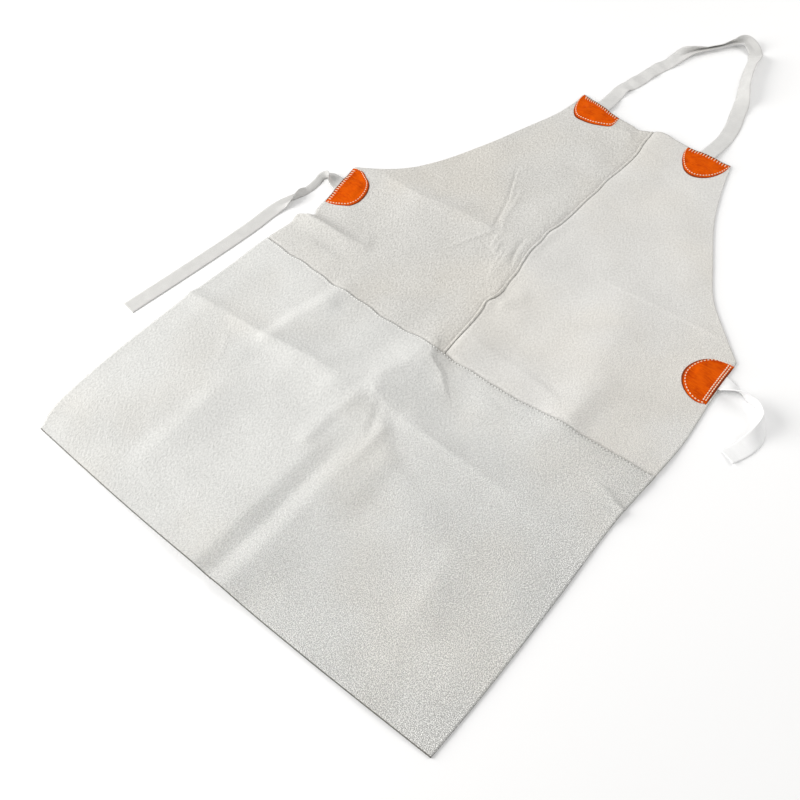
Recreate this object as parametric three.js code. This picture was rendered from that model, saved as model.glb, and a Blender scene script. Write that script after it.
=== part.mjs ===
// A leather work apron lying face up: a skirt, two bib panels, half-moon patches and cotton tapes.
// Millimetres. X runs across the front, Y from the hem to the neck, Z up from the surface below.
import * as THREE from 'three';

// Driving dimensions
const LENGTH = 880;
const HALF_WIDTH = 300;
const CROSS_SEAM_Y = 388;
const WAIST_LEFT_Y = 564;
const WAIST_RIGHT_Y = 580;
const LEATHER = 1.6;
const LAP = 12;
const GAP = 0.35;
const LAP_GAP = 0.8;
const HEM_SAG = 6;
const SEAM_SAG = 11;
const PATCH_END = 3;
const TAPE = 1.2;
const TAPE_WIDTH = 22;

// What a tape lies on: the leather under its patch, or the surface itself
const ON_LEATHER = LEATHER + GAP;
const ON_SURFACE = 0;

// Grid of the leather panels: columns on each side of the centre seam, rows in bands up the apron
const SIDE_COLUMNS = 14;
const BANDS = [
  { to: CROSS_SEAM_Y - LAP, rows: 22 },
  { to: CROSS_SEAM_Y, rows: 1 },
  { to: WAIST_LEFT_Y, rows: 11 },
  { to: WAIST_RIGHT_Y, rows: 1 },
  { to: LENGTH, rows: 18 },
];

// The side edges: up to the waist corner, then along the curve of the armhole
const LEFT_SIDE = [
  { y: 0, x: -302 },
  { y: 22, x: -312 },
  { y: 60, x: -318 },
  { y: 110, x: -319 },
  { y: 205, x: -316 },
  { y: 317, x: -307 },
  { y: 388, x: -300 },
  { y: 444, x: -291 },
  { y: 464, x: -282 },
  { y: 500, x: -287 },
  { y: WAIST_LEFT_Y, x: -296 },
];
const LEFT_ARMHOLE = [
  { y: WAIST_LEFT_Y, x: -296 },
  { y: 580, x: -266 },
  { y: 610, x: -231 },
  { y: 640, x: -209 },
  { y: 702, x: -178 },
  { y: 771, x: -150 },
  { y: 826, x: -129 },
  { y: LENGTH, x: -120 },
];
const RIGHT_SIDE = [
  { y: 0, x: 300 },
  { y: 60, x: 302 },
  { y: 205, x: 302 },
  { y: 317, x: 300 },
  { y: 388, x: 304 },
  { y: 444, x: 306 },
  { y: 500, x: 302 },
  { y: WAIST_RIGHT_Y, x: 297 },
];
const RIGHT_ARMHOLE = [
  { y: WAIST_RIGHT_Y, x: 297 },
  { y: 610, x: 265 },
  { y: 640, x: 235 },
  { y: 702, x: 196 },
  { y: 771, x: 160 },
  { y: 826, x: 141 },
  { y: LENGTH, x: 126 },
];

// The centre seam, and the neck edge
const SEAM = [
  { y: 0, x: 0 },
  { y: 205, x: 5 },
  { y: 388, x: 15.5 },
  { y: 444, x: 11.5 },
  { y: 478, x: 6.5 },
  { y: 500, x: 11 },
  { y: 540, x: 7 },
  { y: 580, x: 0 },
  { y: 620, x: -1 },
  { y: 660, x: 4.5 },
  { y: 745, x: 6 },
  { y: 828, x: 9.5 },
  { y: LENGTH, x: 4 },
];
const NECK = [
  { x: -120, y: 884 },
  { x: -52, y: 867.5 },
  { x: -15, y: 861 },
  { x: 15, y: 875.5 },
  { x: 56, y: 872 },
  { x: 126, y: 873 },
];

// Folds that stand up from the surface, or sink below zero as creases in one that does. A crest is
// a few places as x, y and height. Left and right are the widths of the slopes on the two sides of
// the crest's run, and round is 0 for a creased crest and 1 for a rounded one
const FOLDS = [
  {
    name: 'packing ridge, skirt left',
    crest: [[-317, 254, 5], [-178, 264, 5], [-111, 272, 4], [-19, 289, 3]],
    left: 25,
    right: 24,
    round: 0.5,
  },
  {
    name: 'lobe below the packing ridge',
    crest: [[-111, 268, 4], [-59, 268, 10], [-43, 262, 6]],
    left: 43,
    right: 59,
    round: 0.8,
  },
  {
    name: 'packing ridge, skirt right',
    crest: [[7, 278, 1], [63, 277, 4.5], [139, 272, 2.5]],
    left: 37,
    right: 27,
    round: 0.6,
  },
  {
    name: 'hem crease',
    crest: [[-4, -12, -4.7], [1, 94, -6.2], [2, 187, -4.9], [9, 254, 0.7]],
    left: 27,
    right: 26,
    round: 0.8,
  },
  {
    name: 'swell along the hem crease',
    crest: [[-5, -12, 8.2], [5, 102, 5.7], [5, 241, 5.5]],
    left: 150,
    right: 78,
    round: 0.9,
  },
  {
    name: 'ridge below the seams',
    crest: [[-22, 303, 10.3], [-11, 330, 9.6], [-5, 393, 6.1]],
    left: 47,
    right: 92,
    round: 0.6,
  },
  {
    name: 'diagonal ridge',
    crest: [[-156, 381, 1.5], [-157, 349, 5], [-173, 273, 4.3]],
    left: 57,
    right: 20,
    round: 0.8,
  },
  {
    name: 'lower right wrinkle',
    crest: [[186, 182, 0.8], [192, 138, 2.3], [199, 104, 2.3]],
    left: 47,
    right: 20,
    round: 0.5,
  },
  {
    name: 'waist fold',
    crest: [[-297, 447, 8.9], [-251, 452, 6.8], [-202, 449, 3.2]],
    left: 20,
    right: 30,
    round: 0.5,
  },
  {
    name: 'packing ridge, bib left',
    crest: [[-225, 574, 4.5], [-197, 571, 5.9], [-136, 579, 4.8], [-53, 578, 3.3]],
    left: 42,
    right: 45,
    round: 0.6,
  },
  {
    name: 'bib bulge',
    crest: [[150, 562, 2.6], [168, 513, 5.8], [176, 466, 6.1], [180, 377, 3.6]],
    left: 74,
    right: 60,
    round: 0.8,
  },
  {
    name: 'steep side of the bulge',
    crest: [[191, 449, 2.5], [188, 396, 6]],
    left: 42,
    right: 44,
    round: 0.6,
  },
  {
    name: 'centre seam',
    crest: [[6, 478, 2.9], [-1, 554, -0.3], [-1, 593, 4], [11, 658, 0.6]],
    left: 63,
    right: 20,
    round: 0.4,
  },
];

// Each patch's straight side lies on the apron's edge with the half-moon on its left. Depth is how
// far the half-moon reaches in, skew how far its belly leans along the straight side, as a share of
// it, and fullness is 1 for half an ellipse and less for a squarer form
const PATCHES = [
  { name: 'patch_neck_left', from: [-51, 864], to: [-121, 880], depth: 41, skew: -0.08, fullness: 0.68 },
  { name: 'patch_neck_right', from: [125, 870], to: [60, 870], depth: 46.5, skew: 0, fullness: 1 },
  { name: 'patch_waist_left', from: [-296, 560], to: [-284, 487], depth: 45.5, skew: 0.06, fullness: 0.74 },
  { name: 'patch_waist_right', from: [299, 507], to: [298, 573], depth: 44, skew: -0.1, fullness: 0.64 },
];

// Routes of the tapes, from the end under a patch: over is the height of what the tape lies on,
// and tilt in degrees raises its left edge
const NECK_ROUTE = [
  { x: -88, y: 852, over: ON_LEATHER, tilt: 0 },
  { x: -85, y: 885, over: ON_LEATHER, tilt: 0 },
  { x: -83, y: 908, over: ON_SURFACE, tilt: 0 },
  { x: -79, y: 938, over: ON_SURFACE, tilt: 0 },
  { x: -66, y: 995, over: ON_SURFACE, tilt: 0 },
  { x: -52, y: 1040, over: ON_SURFACE, tilt: -10 },
  { x: -42, y: 1064, over: ON_SURFACE, tilt: -34 },
  { x: -25, y: 1092, over: ON_SURFACE, tilt: -40 },
  { x: -4, y: 1116, over: ON_SURFACE, tilt: -45 },
  { x: 15, y: 1121, over: ON_SURFACE, tilt: -48 },
  { x: 32, y: 1108, over: ON_SURFACE, tilt: -50 },
  { x: 43, y: 1080, over: ON_SURFACE, tilt: -50 },
  { x: 54, y: 1045, over: ON_SURFACE, tilt: -45 },
  { x: 69, y: 1006, over: ON_SURFACE, tilt: -60 },
  { x: 81, y: 980, over: ON_SURFACE, tilt: -30 },
  { x: 88, y: 952, over: ON_SURFACE, tilt: 0 },
  { x: 91, y: 904, over: ON_SURFACE, tilt: 0 },
  { x: 90, y: 880, over: ON_LEATHER, tilt: 0 },
  { x: 88, y: 848, over: ON_LEATHER, tilt: 0 },
];
const LEFT_TIE_ROUTE = [
  { x: -266, y: 523, over: ON_LEATHER, tilt: 0 },
  { x: -300, y: 527, over: ON_LEATHER, tilt: 0 },
  { x: -310, y: 529, over: ON_SURFACE, tilt: 24 },
  { x: -318, y: 524, over: ON_SURFACE, tilt: 46 },
  { x: -323, y: 508, over: ON_SURFACE, tilt: 40 },
  { x: -327, y: 480, over: ON_SURFACE, tilt: 32 },
  { x: -331, y: 452, over: ON_SURFACE, tilt: 22 },
  { x: -336, y: 424, over: ON_SURFACE, tilt: 8 },
  { x: -342, y: 392, over: ON_SURFACE, tilt: 0 },
  { x: -352, y: 290, over: ON_SURFACE, tilt: 0 },
  { x: -361, y: 195, over: ON_SURFACE, tilt: 0 },
];
const RIGHT_TIE_ROUTE = [
  { x: 274, y: 542, over: ON_LEATHER, tilt: 0 },
  { x: 305, y: 544, over: ON_LEATHER, tilt: 0 },
  { x: 318, y: 547, over: ON_SURFACE, tilt: -38 },
  { x: 330, y: 544, over: ON_SURFACE, tilt: -66 },
  { x: 346, y: 537, over: ON_SURFACE, tilt: -76 },
  { x: 357, y: 523, over: ON_SURFACE, tilt: -80 },
  { x: 361, y: 503, over: ON_SURFACE, tilt: -76 },
  { x: 356, y: 483, over: ON_SURFACE, tilt: -64 },
  { x: 345, y: 459, over: ON_SURFACE, tilt: -45 },
];
const TAPE_STEP = 7;

const { clamp, degToRad, lerp, smoothstep } = THREE.MathUtils;

// A smooth curve through one column of a table, read at a place in another column
function through(rows, along, across) {
  const places = rows.map((row) => row[along]);
  const values = rows.map((row) => row[across]);
  const curve = new THREE.CubicInterpolant(places, values, 1);
  return (place) => curve.evaluate(place)[0];
}

// The same in straight steps from row to row, read by the row's number in the table
function stepping(rows, column) {
  const values = rows.map((row) => row[column]);
  const steps = new THREE.LinearInterpolant([...values.keys()], values, 1);
  return (index) => steps.evaluate(index)[0];
}

const leftSide = through(LEFT_SIDE, 'y', 'x');
const leftArmhole = through(LEFT_ARMHOLE, 'y', 'x');
const rightSide = through(RIGHT_SIDE, 'y', 'x');
const rightArmhole = through(RIGHT_ARMHOLE, 'y', 'x');
const centreSeam = through(SEAM, 'y', 'x');
const neckEdge = through(NECK, 'x', 'y');

function leftEdge(y) {
  return y < WAIST_LEFT_Y ? leftSide(y) : leftArmhole(y);
}

function rightEdge(y) {
  return y < WAIST_RIGHT_Y ? rightSide(y) : rightArmhole(y);
}

// Height over a place of one straight stretch of a fold: full on its crest, and nothing past the
// foot of its slopes
function stretchHeight(fold, start, end, x, y) {
  const [startX, startY, startHeight] = start;
  const [endX, endY, endHeight] = end;
  const runX = endX - startX;
  const runY = endY - startY;
  const length = Math.hypot(runX, runY);
  const along = clamp(((x - startX) * runX + (y - startY) * runY) / length ** 2, 0, 1);
  const offX = x - startX - runX * along;
  const offY = y - startY - runY * along;
  const away = Math.hypot(offX, offY);
  const leftward = away > 0 ? (runX * offY - runY * offX) / (length * away) : 0;
  const width = lerp(fold.right, fold.left, (leftward + 1) / 2);
  const down = Math.min(away / width, 1);
  return lerp(startHeight, endHeight, along) * (1 - down) ** 2 * (1 + 2 * fold.round * down);
}

// Height of one fold over a place: that of the stretch that counts most there
function foldHeight(fold, x, y) {
  let height = 0;
  for (let i = 1; i < fold.crest.length; i += 1) {
    const stretch = stretchHeight(fold, fold.crest[i - 1], fold.crest[i], x, y);
    height = Math.abs(stretch) > Math.abs(height) ? stretch : height;
  }
  return height;
}

// Height of the leather's underside: all the folds added up, and never below the surface
function lift(x, y) {
  const sum = FOLDS.reduce((total, fold) => total + foldHeight(fold, x, y), 0);
  return Math.max(0, sum);
}

// A closed sheet: a box grid whose lower face is placed by a function of column and row
function sheetGeometry(columns, rows, thickness, place) {
  const box = new THREE.BoxGeometry(1, 1, 1, columns, rows, 1);
  const corners = box.attributes.position;
  for (let i = 0; i < corners.count; i += 1) {
    const column = Math.round((corners.getX(i) + 0.5) * columns);
    const row = Math.round((corners.getY(i) + 0.5) * rows);
    const point = place(column, row);
    const height = corners.getZ(i) > 0 ? thickness : 0;
    corners.setXYZ(i, point.x, point.y, point.z + height);
  }
  box.computeVertexNormals();
  return box;
}

// Heights of all the rows of the panel grid, and the first row of the cross seam's lap
const ROWS = [0];
for (const band of BANDS) {
  const start = ROWS.at(-1);
  for (let i = 1; i <= band.rows; i += 1) {
    ROWS.push(lerp(start, band.to, i / band.rows));
  }
}
const LAP_ROW = BANDS[0].rows;
const LAST_ROW = ROWS.length - 1;

// Columns: the left panel ends on the centre seam, and the right panel starts a lap before it
const LAP_COLUMN = SIDE_COLUMNS;
const SEAM_COLUMN = SIDE_COLUMNS + 1;
const LAST_COLUMN = 2 * SIDE_COLUMNS + 1;

// A point of the panel grid, on the underside of the leather with some layers of it below
function panelPoint(column, row, layers) {
  const level = ROWS[row];
  const seam = centreSeam(level);
  const x = column <= LAP_COLUMN
    ? lerp(leftEdge(level), seam - LAP, column / LAP_COLUMN)
    : lerp(seam, rightEdge(level), (column - SEAM_COLUMN) / SIDE_COLUMNS);
  const middle = 1 - (x / HALF_WIDTH) ** 2;
  const atHem = 1 - smoothstep(level, 0, 160);
  const atSeam = 1 - smoothstep(Math.abs(level - CROSS_SEAM_Y), 0, 120);
  const atNeck = smoothstep(level, LENGTH - 160, LENGTH);
  const sag = middle * (HEM_SAG * atHem + SEAM_SAG * atSeam);
  const y = level - sag + (neckEdge(x) - LENGTH) * atNeck;
  return new THREE.Vector3(x, y, lift(x, y) + layers * (LEATHER + LAP_GAP));
}

// One leather panel over a range of the grid, with the number of layers below each point
function panel(columns, rows, layersBelow) {
  const [firstColumn, lastColumn] = columns;
  const [firstRow, lastRow] = rows;
  return sheetGeometry(lastColumn - firstColumn, lastRow - firstRow, LEATHER, (i, j) => {
    const column = firstColumn + i;
    const row = firstRow + j;
    return panelPoint(column, row, layersBelow(column, row));
  });
}

// The left bib panel laps over the right one, and the skirt laps over both
function overCentreLap(column) {
  return column === LAP_COLUMN || column === SEAM_COLUMN ? 1 : 0;
}

function skirt() {
  return panel([0, LAST_COLUMN], [0, LAP_ROW + 1], (column, row) => (
    row >= LAP_ROW ? 1 + overCentreLap(column) : 0
  ));
}

function bibLeft() {
  return panel([0, SEAM_COLUMN], [LAP_ROW, LAST_ROW], overCentreLap);
}

function bibRight() {
  return panel([LAP_COLUMN, LAST_COLUMN], [LAP_ROW, LAST_ROW], () => 0);
}

// A half-moon patch on the leather, raised along its middle over the end of its tape
function patch({ from, to, depth, skew, fullness }) {
  const columns = 12;
  const rows = 6;
  const start = new THREE.Vector2(...from);
  const run = new THREE.Vector2(...to).sub(start);
  const length = run.length();
  run.normalize();
  const inward = new THREE.Vector2(-run.y, run.x);
  return sheetGeometry(columns, rows, LEATHER, (i, j) => {
    const share = j / rows;
    const turn = Math.PI * i / columns;
    const belly = Math.sin(turn);
    const along = length * ((1 - Math.cos(turn)) / 2 + skew * belly * share);
    const reach = lerp(PATCH_END, depth, belly ** fullness) * share;
    const x = start.x + run.x * along + inward.x * reach;
    const y = start.y + run.y * along + inward.y * reach;
    const fromTape = Math.abs(along - length / 2);
    const overTape = (1 - smoothstep(fromTape, 18, 25)) * (1 - smoothstep(reach, 29, 41));
    const z = lift(x, y) + LEATHER + GAP + overTape * (TAPE + GAP);
    return new THREE.Vector3(x, y, z);
  });
}

// A flat tape along a route, turned about its run by the tilt and resting on its lower edge
function tape(route) {
  const tilt = stepping(route, 'tilt');
  const over = stepping(route, 'over');
  const points = route.map(({ x, y }) => new THREE.Vector3(x, y, 0));
  const curve = new THREE.CatmullRomCurve3(points, false, 'centripetal');
  const steps = Math.round(curve.getLength() / TAPE_STEP);
  const box = new THREE.BoxGeometry(1, 1, 1, steps, 2, 1);
  const corners = box.attributes.position;
  for (let i = 0; i < corners.count; i += 1) {
    const share = corners.getX(i) + 0.5;
    const index = share * (route.length - 1);
    const turn = degToRad(tilt(index));
    const run = curve.getTangent(share);
    const side = new THREE.Vector3(-run.y, run.x, 0).normalize().applyAxisAngle(run, turn);
    const face = run.clone().cross(side);
    const halfHeight = Math.abs(side.z) * TAPE_WIDTH / 2 + Math.abs(face.z) * TAPE / 2;
    const point = curve.getPoint(share);
    point.z = over(index) + halfHeight;
    point.addScaledVector(side, corners.getY(i) * TAPE_WIDTH);
    point.addScaledVector(face, corners.getZ(i) * TAPE);
    corners.setXYZ(i, point.x, point.y, point.z);
  }
  box.computeVertexNormals();
  return box;
}

// Materials with the colours of the real ones
const suede = () => new THREE.MeshStandardMaterial({ color: 0xdedcd7, roughness: 0.95, metalness: 0 });
const orangeLeather = () => new THREE.MeshStandardMaterial({ color: 0xe65f0c, roughness: 0.5, metalness: 0 });
const cotton = () => new THREE.MeshStandardMaterial({ color: 0xe4e4e1, roughness: 0.9, metalness: 0 });

const apron = new THREE.Group();

function add(name, geometry, material) {
  const mesh = new THREE.Mesh(geometry, material);
  mesh.name = name;
  apron.add(mesh);
}

add('skirt', skirt(), suede());
add('bib_left', bibLeft(), suede());
add('bib_right', bibRight(), suede());
for (const row of PATCHES) {
  add(row.name, patch(row), orangeLeather());
}
add('neck_strap', tape(NECK_ROUTE), cotton());
add('waist_tie_left', tape(LEFT_TIE_ROUTE), cotton());
add('waist_tie_right', tape(RIGHT_TIE_ROUTE), cotton());

// The origin is under the middle of the whole apron
const box = new THREE.Box3().setFromObject(apron);
const middle = box.getCenter(new THREE.Vector3());
apron.position.set(-middle.x, -middle.y, -box.min.z);

const scene = new THREE.Group();
scene.add(apron);

export default scene;
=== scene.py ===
# %% [markdown]
# # A leather work apron, lying face up
# The apron is sewn from three panels of split leather: a wide skirt and two halves of a bib.
# Orange half-moon patches strengthen the four corners where the cotton tapes are sewn on.
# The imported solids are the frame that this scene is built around. Each solid is replaced by a
# finer sheet in the same place, so the looks change and the sizes don't.

# %% Load the frame
import math

import bmesh
import bpy
import numpy as np
from mathutils import Matrix, Quaternion, Vector, noise


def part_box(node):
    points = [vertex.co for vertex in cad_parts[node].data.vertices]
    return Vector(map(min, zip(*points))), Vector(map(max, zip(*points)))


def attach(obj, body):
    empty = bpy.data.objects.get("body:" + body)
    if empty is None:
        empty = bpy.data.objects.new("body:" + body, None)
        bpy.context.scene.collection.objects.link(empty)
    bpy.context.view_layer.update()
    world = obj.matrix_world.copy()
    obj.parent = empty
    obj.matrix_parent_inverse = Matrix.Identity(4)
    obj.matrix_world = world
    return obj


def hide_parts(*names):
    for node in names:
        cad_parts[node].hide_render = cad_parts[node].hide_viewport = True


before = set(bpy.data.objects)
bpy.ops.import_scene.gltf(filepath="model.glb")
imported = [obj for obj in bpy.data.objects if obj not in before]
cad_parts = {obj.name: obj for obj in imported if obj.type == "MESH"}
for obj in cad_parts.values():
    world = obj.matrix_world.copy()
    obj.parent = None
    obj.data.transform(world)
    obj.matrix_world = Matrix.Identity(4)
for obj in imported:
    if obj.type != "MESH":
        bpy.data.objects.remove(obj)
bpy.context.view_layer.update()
print("solids:", ", ".join(sorted(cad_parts)))

# %% [markdown]
# ## Where the apron's own measures start
# A maker measures an apron from its centre line and its hem. The frame is centred on the whole
# outline instead, so one offset turns a maker's place into a place in the frame. It is read from
# two solids: the skirt's hem, and the waist patch that lies on the right edge.

# %% Origin of the apron's measures
LEATHER = 0.0016
HEM_SAG = 0.006
RIGHT_PATCH_X = 0.299

origin_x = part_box("patch_waist_right")[1].x - RIGHT_PATCH_X
origin_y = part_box("skirt")[0].y + HEM_SAG
print("centre line meets the hem at", round(origin_x, 4), round(origin_y, 4))


def to_frame(x, y, z):
    return np.column_stack([x + origin_x, y + origin_y, z])


# %% [markdown]
# ## Camera
# The view is steep, from beyond the hem's right-hand corner. Its values come from matching the
# apron's corners and seams to their places in the picture: a turn, a height above the surface,
# a slight roll and a distance, all around one point on the skirt.

# %% Camera
VIEW_TURN = math.radians(45.43)
VIEW_HEIGHT = math.radians(55.65)
VIEW_ROLL = math.radians(-6.49)
VIEW_DISTANCE = 1.137
VIEW_TARGET = Vector((0.01285 + origin_x, 0.29608 + origin_y, 0))

toward_camera = Vector((
    math.sin(VIEW_TURN) * math.cos(VIEW_HEIGHT),
    -math.cos(VIEW_TURN) * math.cos(VIEW_HEIGHT),
    math.sin(VIEW_HEIGHT),
))
camera = bpy.data.objects.new("camera", bpy.data.cameras.new("camera"))
camera.data.sensor_width = 36
camera.data.lens = 43.0
camera.location = VIEW_TARGET + toward_camera * VIEW_DISTANCE
camera.rotation_mode = "QUATERNION"
camera.rotation_quaternion = toward_camera.to_track_quat("Z", "Y") @ Quaternion((0, 0, 1), VIEW_ROLL)
bpy.context.collection.objects.link(camera)
bpy.context.scene.camera = camera
print("camera at", [round(v, 3) for v in camera.location])

# %% [markdown]
# ## Floor and light
# Shallow folds in pale leather only show in light that rakes across them. One large soft panel
# stands low on the hem's left side, and a white surround fills the shadows so that the surface
# below stays almost white.

# %% Floor
floor_mesh = bpy.data.meshes.new("floor")
bm = bmesh.new()
bmesh.ops.create_grid(bm, x_segments=1, y_segments=1, size=4)
bm.to_mesh(floor_mesh)
bm.free()
floor = bpy.data.objects.new("floor", floor_mesh)
bpy.context.collection.objects.link(floor)

floor_paint = bpy.data.materials.new("floor paint")
floor_paint.use_nodes = True
floor_shader = floor_paint.node_tree.nodes["Principled BSDF"]
floor_shader.inputs["Base Color"].default_value = (0.98, 0.98, 0.98, 1)
floor_shader.inputs["Roughness"].default_value = 0.9
floor_shader.inputs["Specular IOR Level"].default_value = 0.1
floor.data.materials.append(floor_paint)
print("floor", [round(v, 1) for v in floor.dimensions])

# %% Light
SURROUND = 0.50
LIGHTS = {
    # power, size, place, what it points at
    "key light": (61.5, 1.8, Vector((-1.70, -1.36, 0.98)), Vector((0, -0.15, 0))),
    "fill light": (15.5, 1.2, Vector((1.09, 1.22, 1.46)), Vector((0, 0.1, 0))),
}

world = bpy.data.worlds.new("surround")
world.use_nodes = True
world.node_tree.nodes["Background"].inputs["Color"].default_value = (1, 1, 1, 1)
world.node_tree.nodes["Background"].inputs["Strength"].default_value = SURROUND
bpy.context.scene.world = world

for name, (power, size, place, aim) in LIGHTS.items():
    lamp = bpy.data.objects.new(name, bpy.data.lights.new(name, "AREA"))
    lamp.data.shape = "SQUARE"
    lamp.data.size = size
    lamp.data.energy = power
    lamp.data.color = (1, 0.99, 0.975)
    lamp.location = place
    lamp.rotation_mode = "QUATERNION"
    lamp.rotation_quaternion = (place - aim).to_track_quat("Z", "Y")
    bpy.context.collection.objects.link(lamp)

bpy.context.scene.view_settings.view_transform = "Standard"
bpy.context.scene.view_settings.look = "None"
print("lights:", ", ".join(LIGHTS))

# %% [markdown]
# ## The cut of the panels
# A panel's outline is a table: at each height above the hem it gives the left edge, the centre
# seam and the right edge. The neck edge is a second table. A smooth curve through a column gives
# the edge anywhere between its rows.

# %% Plan of the apron
LENGTH = 0.880
HALF_WIDTH = 0.300
CROSS_SEAM_Y = 0.388
SEAM_SAG = 0.011
LAP = 0.012

WAIST_LEFT_Y = 0.564
WAIST_RIGHT_Y = 0.580

LEFT_SIDE = np.array([
    # y, x
    (0.000, -0.302), (0.022, -0.312), (0.060, -0.318), (0.110, -0.319), (0.205, -0.316), (0.317, -0.307),
    (0.388, -0.300), (0.430, -0.2935), (0.446, -0.2905), (0.451, -0.280), (0.470, -0.2835), (0.500, -0.287),
    (WAIST_LEFT_Y, -0.296),
])
LEFT_ARMHOLE = np.array([
    (WAIST_LEFT_Y, -0.296), (0.580, -0.266), (0.610, -0.231), (0.640, -0.209), (0.702, -0.178),
    (0.771, -0.150), (0.826, -0.129), (LENGTH, -0.120),
])
RIGHT_SIDE = np.array([
    (0.000, 0.300), (0.060, 0.302), (0.205, 0.302), (0.317, 0.300), (0.388, 0.304), (0.444, 0.306),
    (0.500, 0.302), (WAIST_RIGHT_Y, 0.297),
])
RIGHT_ARMHOLE = np.array([
    (WAIST_RIGHT_Y, 0.297), (0.610, 0.265), (0.640, 0.235), (0.702, 0.196), (0.771, 0.160),
    (0.826, 0.141), (LENGTH, 0.126),
])
SEAM = np.array([
    # y, x of the centre seam
    (0.000, 0.000),
    (0.205, 0.005),
    (0.388, 0.0155),
    (0.420, 0.013),
    (0.444, 0.0115),
    (0.464, 0.009),
    (0.478, 0.0065),
    (0.487, 0.010),
    (0.503, 0.011),
    (0.520, 0.0085),
    (0.540, 0.007),
    (0.556, 0.003),
    (0.580, 0.000),
    (0.600, 0.001),
    (0.620, -0.001),
    (0.640, 0.003),
    (0.660, 0.0045),
    (0.702, 0.0055),
    (0.725, 0.007),
    (0.745, 0.006),
    (0.780, 0.009),
    (0.828, 0.0095),
    (0.845, 0.0065),
    (0.880, 0.004),
])
NECK = np.array([
    # x, y of the neck edge
    (-0.120, 0.884),
    (-0.052, 0.8675),
    (-0.035, 0.865),
    (-0.025, 0.8635),
    (-0.015, 0.861),
    (-0.005, 0.8655),
    (0.005, 0.871),
    (0.015, 0.8755),
    (0.025, 0.8755),
    (0.040, 0.873),
    (0.056, 0.872),
    (0.126, 0.873),
])


# %% Edges and level lines
def through(places, values):
    """A smooth curve through the values, to be read at any place."""
    slopes = np.gradient(values, places)

    def read(at):
        at = np.clip(at, places[0], places[-1])
        i = np.clip(np.searchsorted(places, at) - 1, 0, len(places) - 2)
        step = places[i + 1] - places[i]
        t = (at - places[i]) / step
        return (
            values[i] * (1 + 2 * t) * (1 - t) ** 2
            + slopes[i] * step * t * (1 - t) ** 2
            + values[i + 1] * t ** 2 * (3 - 2 * t)
            + slopes[i + 1] * step * t ** 2 * (t - 1)
        )

    return read


left_side, left_armhole = through(*LEFT_SIDE.T), through(*LEFT_ARMHOLE.T)
right_side, right_armhole = through(*RIGHT_SIDE.T), through(*RIGHT_ARMHOLE.T)
centre_seam = through(SEAM[:, 0], SEAM[:, 1])
neck_edge = through(NECK[:, 0], NECK[:, 1])


def left_edge(y):
    return np.where(y < WAIST_LEFT_Y, left_side(y), left_armhole(y))


def right_edge(y):
    return np.where(y < WAIST_RIGHT_Y, right_side(y), right_armhole(y))


def ease(value, start, end):
    """0 before start, 1 after end, and a soft S between."""
    t = np.clip((value - start) / (end - start), 0, 1)
    return t * t * (3 - 2 * t)


def wander(x):
    """How far the cross seam strays from an even curve; its right half is straighter."""
    stray = 0.0011 * np.sin(x * 68 + 0.6) + 0.0008 * np.sin(x * 151 + 2.0)
    return stray * (1 - 0.6 * ease(x, -0.05, 0.10))


def drawn_height(x, level):
    """The height above the hem of a place on a level line, which sags at the hem and the seam."""
    middle = 1 - (x / HALF_WIDTH) ** 2
    at_hem = 1 - ease(level, 0, 0.160)
    at_seam = 1 - ease(np.abs(level - CROSS_SEAM_Y), 0, 0.120)
    at_neck = ease(level, LENGTH - 0.160, LENGTH)
    sag = middle * (HEM_SAG * at_hem + SEAM_SAG * at_seam) + wander(x) * at_seam ** 4
    return level - sag + (neck_edge(x) - LENGTH) * at_neck


print("hem", round(float(right_edge(0.0) - left_edge(0.0)), 3), "m wide, length", LENGTH)

# %% [markdown]
# ## Folds
# The apron was folded up small in its pack, so ridges cross it and the leather has not settled.
# Each fold is a crest of a few places with a height, and a slope of its own width on each side.
# A height below zero is a valley. The folds are simply added up, and a last step keeps the sheet
# on or above the surface that it lies on.

# %% Height of one fold


def fold_height(crest, left, right, rounding, x, y):
    """Full on the crest, nothing past the foot of the slopes; rounding 0 gives a sharp crest."""
    height = np.zeros_like(x)
    for (x0, y0, h0), (x1, y1, h1) in zip(crest, crest[1:]):
        run_x, run_y = x1 - x0, y1 - y0
        length = math.hypot(run_x, run_y)
        along = np.clip(((x - x0) * run_x + (y - y0) * run_y) / length ** 2, 0, 1)
        off_x = x - x0 - run_x * along
        off_y = y - y0 - run_y * along
        away = np.hypot(off_x, off_y)
        leftward = (run_x * off_y - run_y * off_x) / (length * np.maximum(away, 1e-9))
        width = right + (left - right) * (leftward + 1) / 2
        down = np.minimum(away / width, 1)
        part = (h0 + (h1 - h0) * along) * (1 - down) ** 2 * (1 + 2 * rounding * down)
        height = np.where(np.abs(part) > np.abs(height), part, height)
    return height


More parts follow.
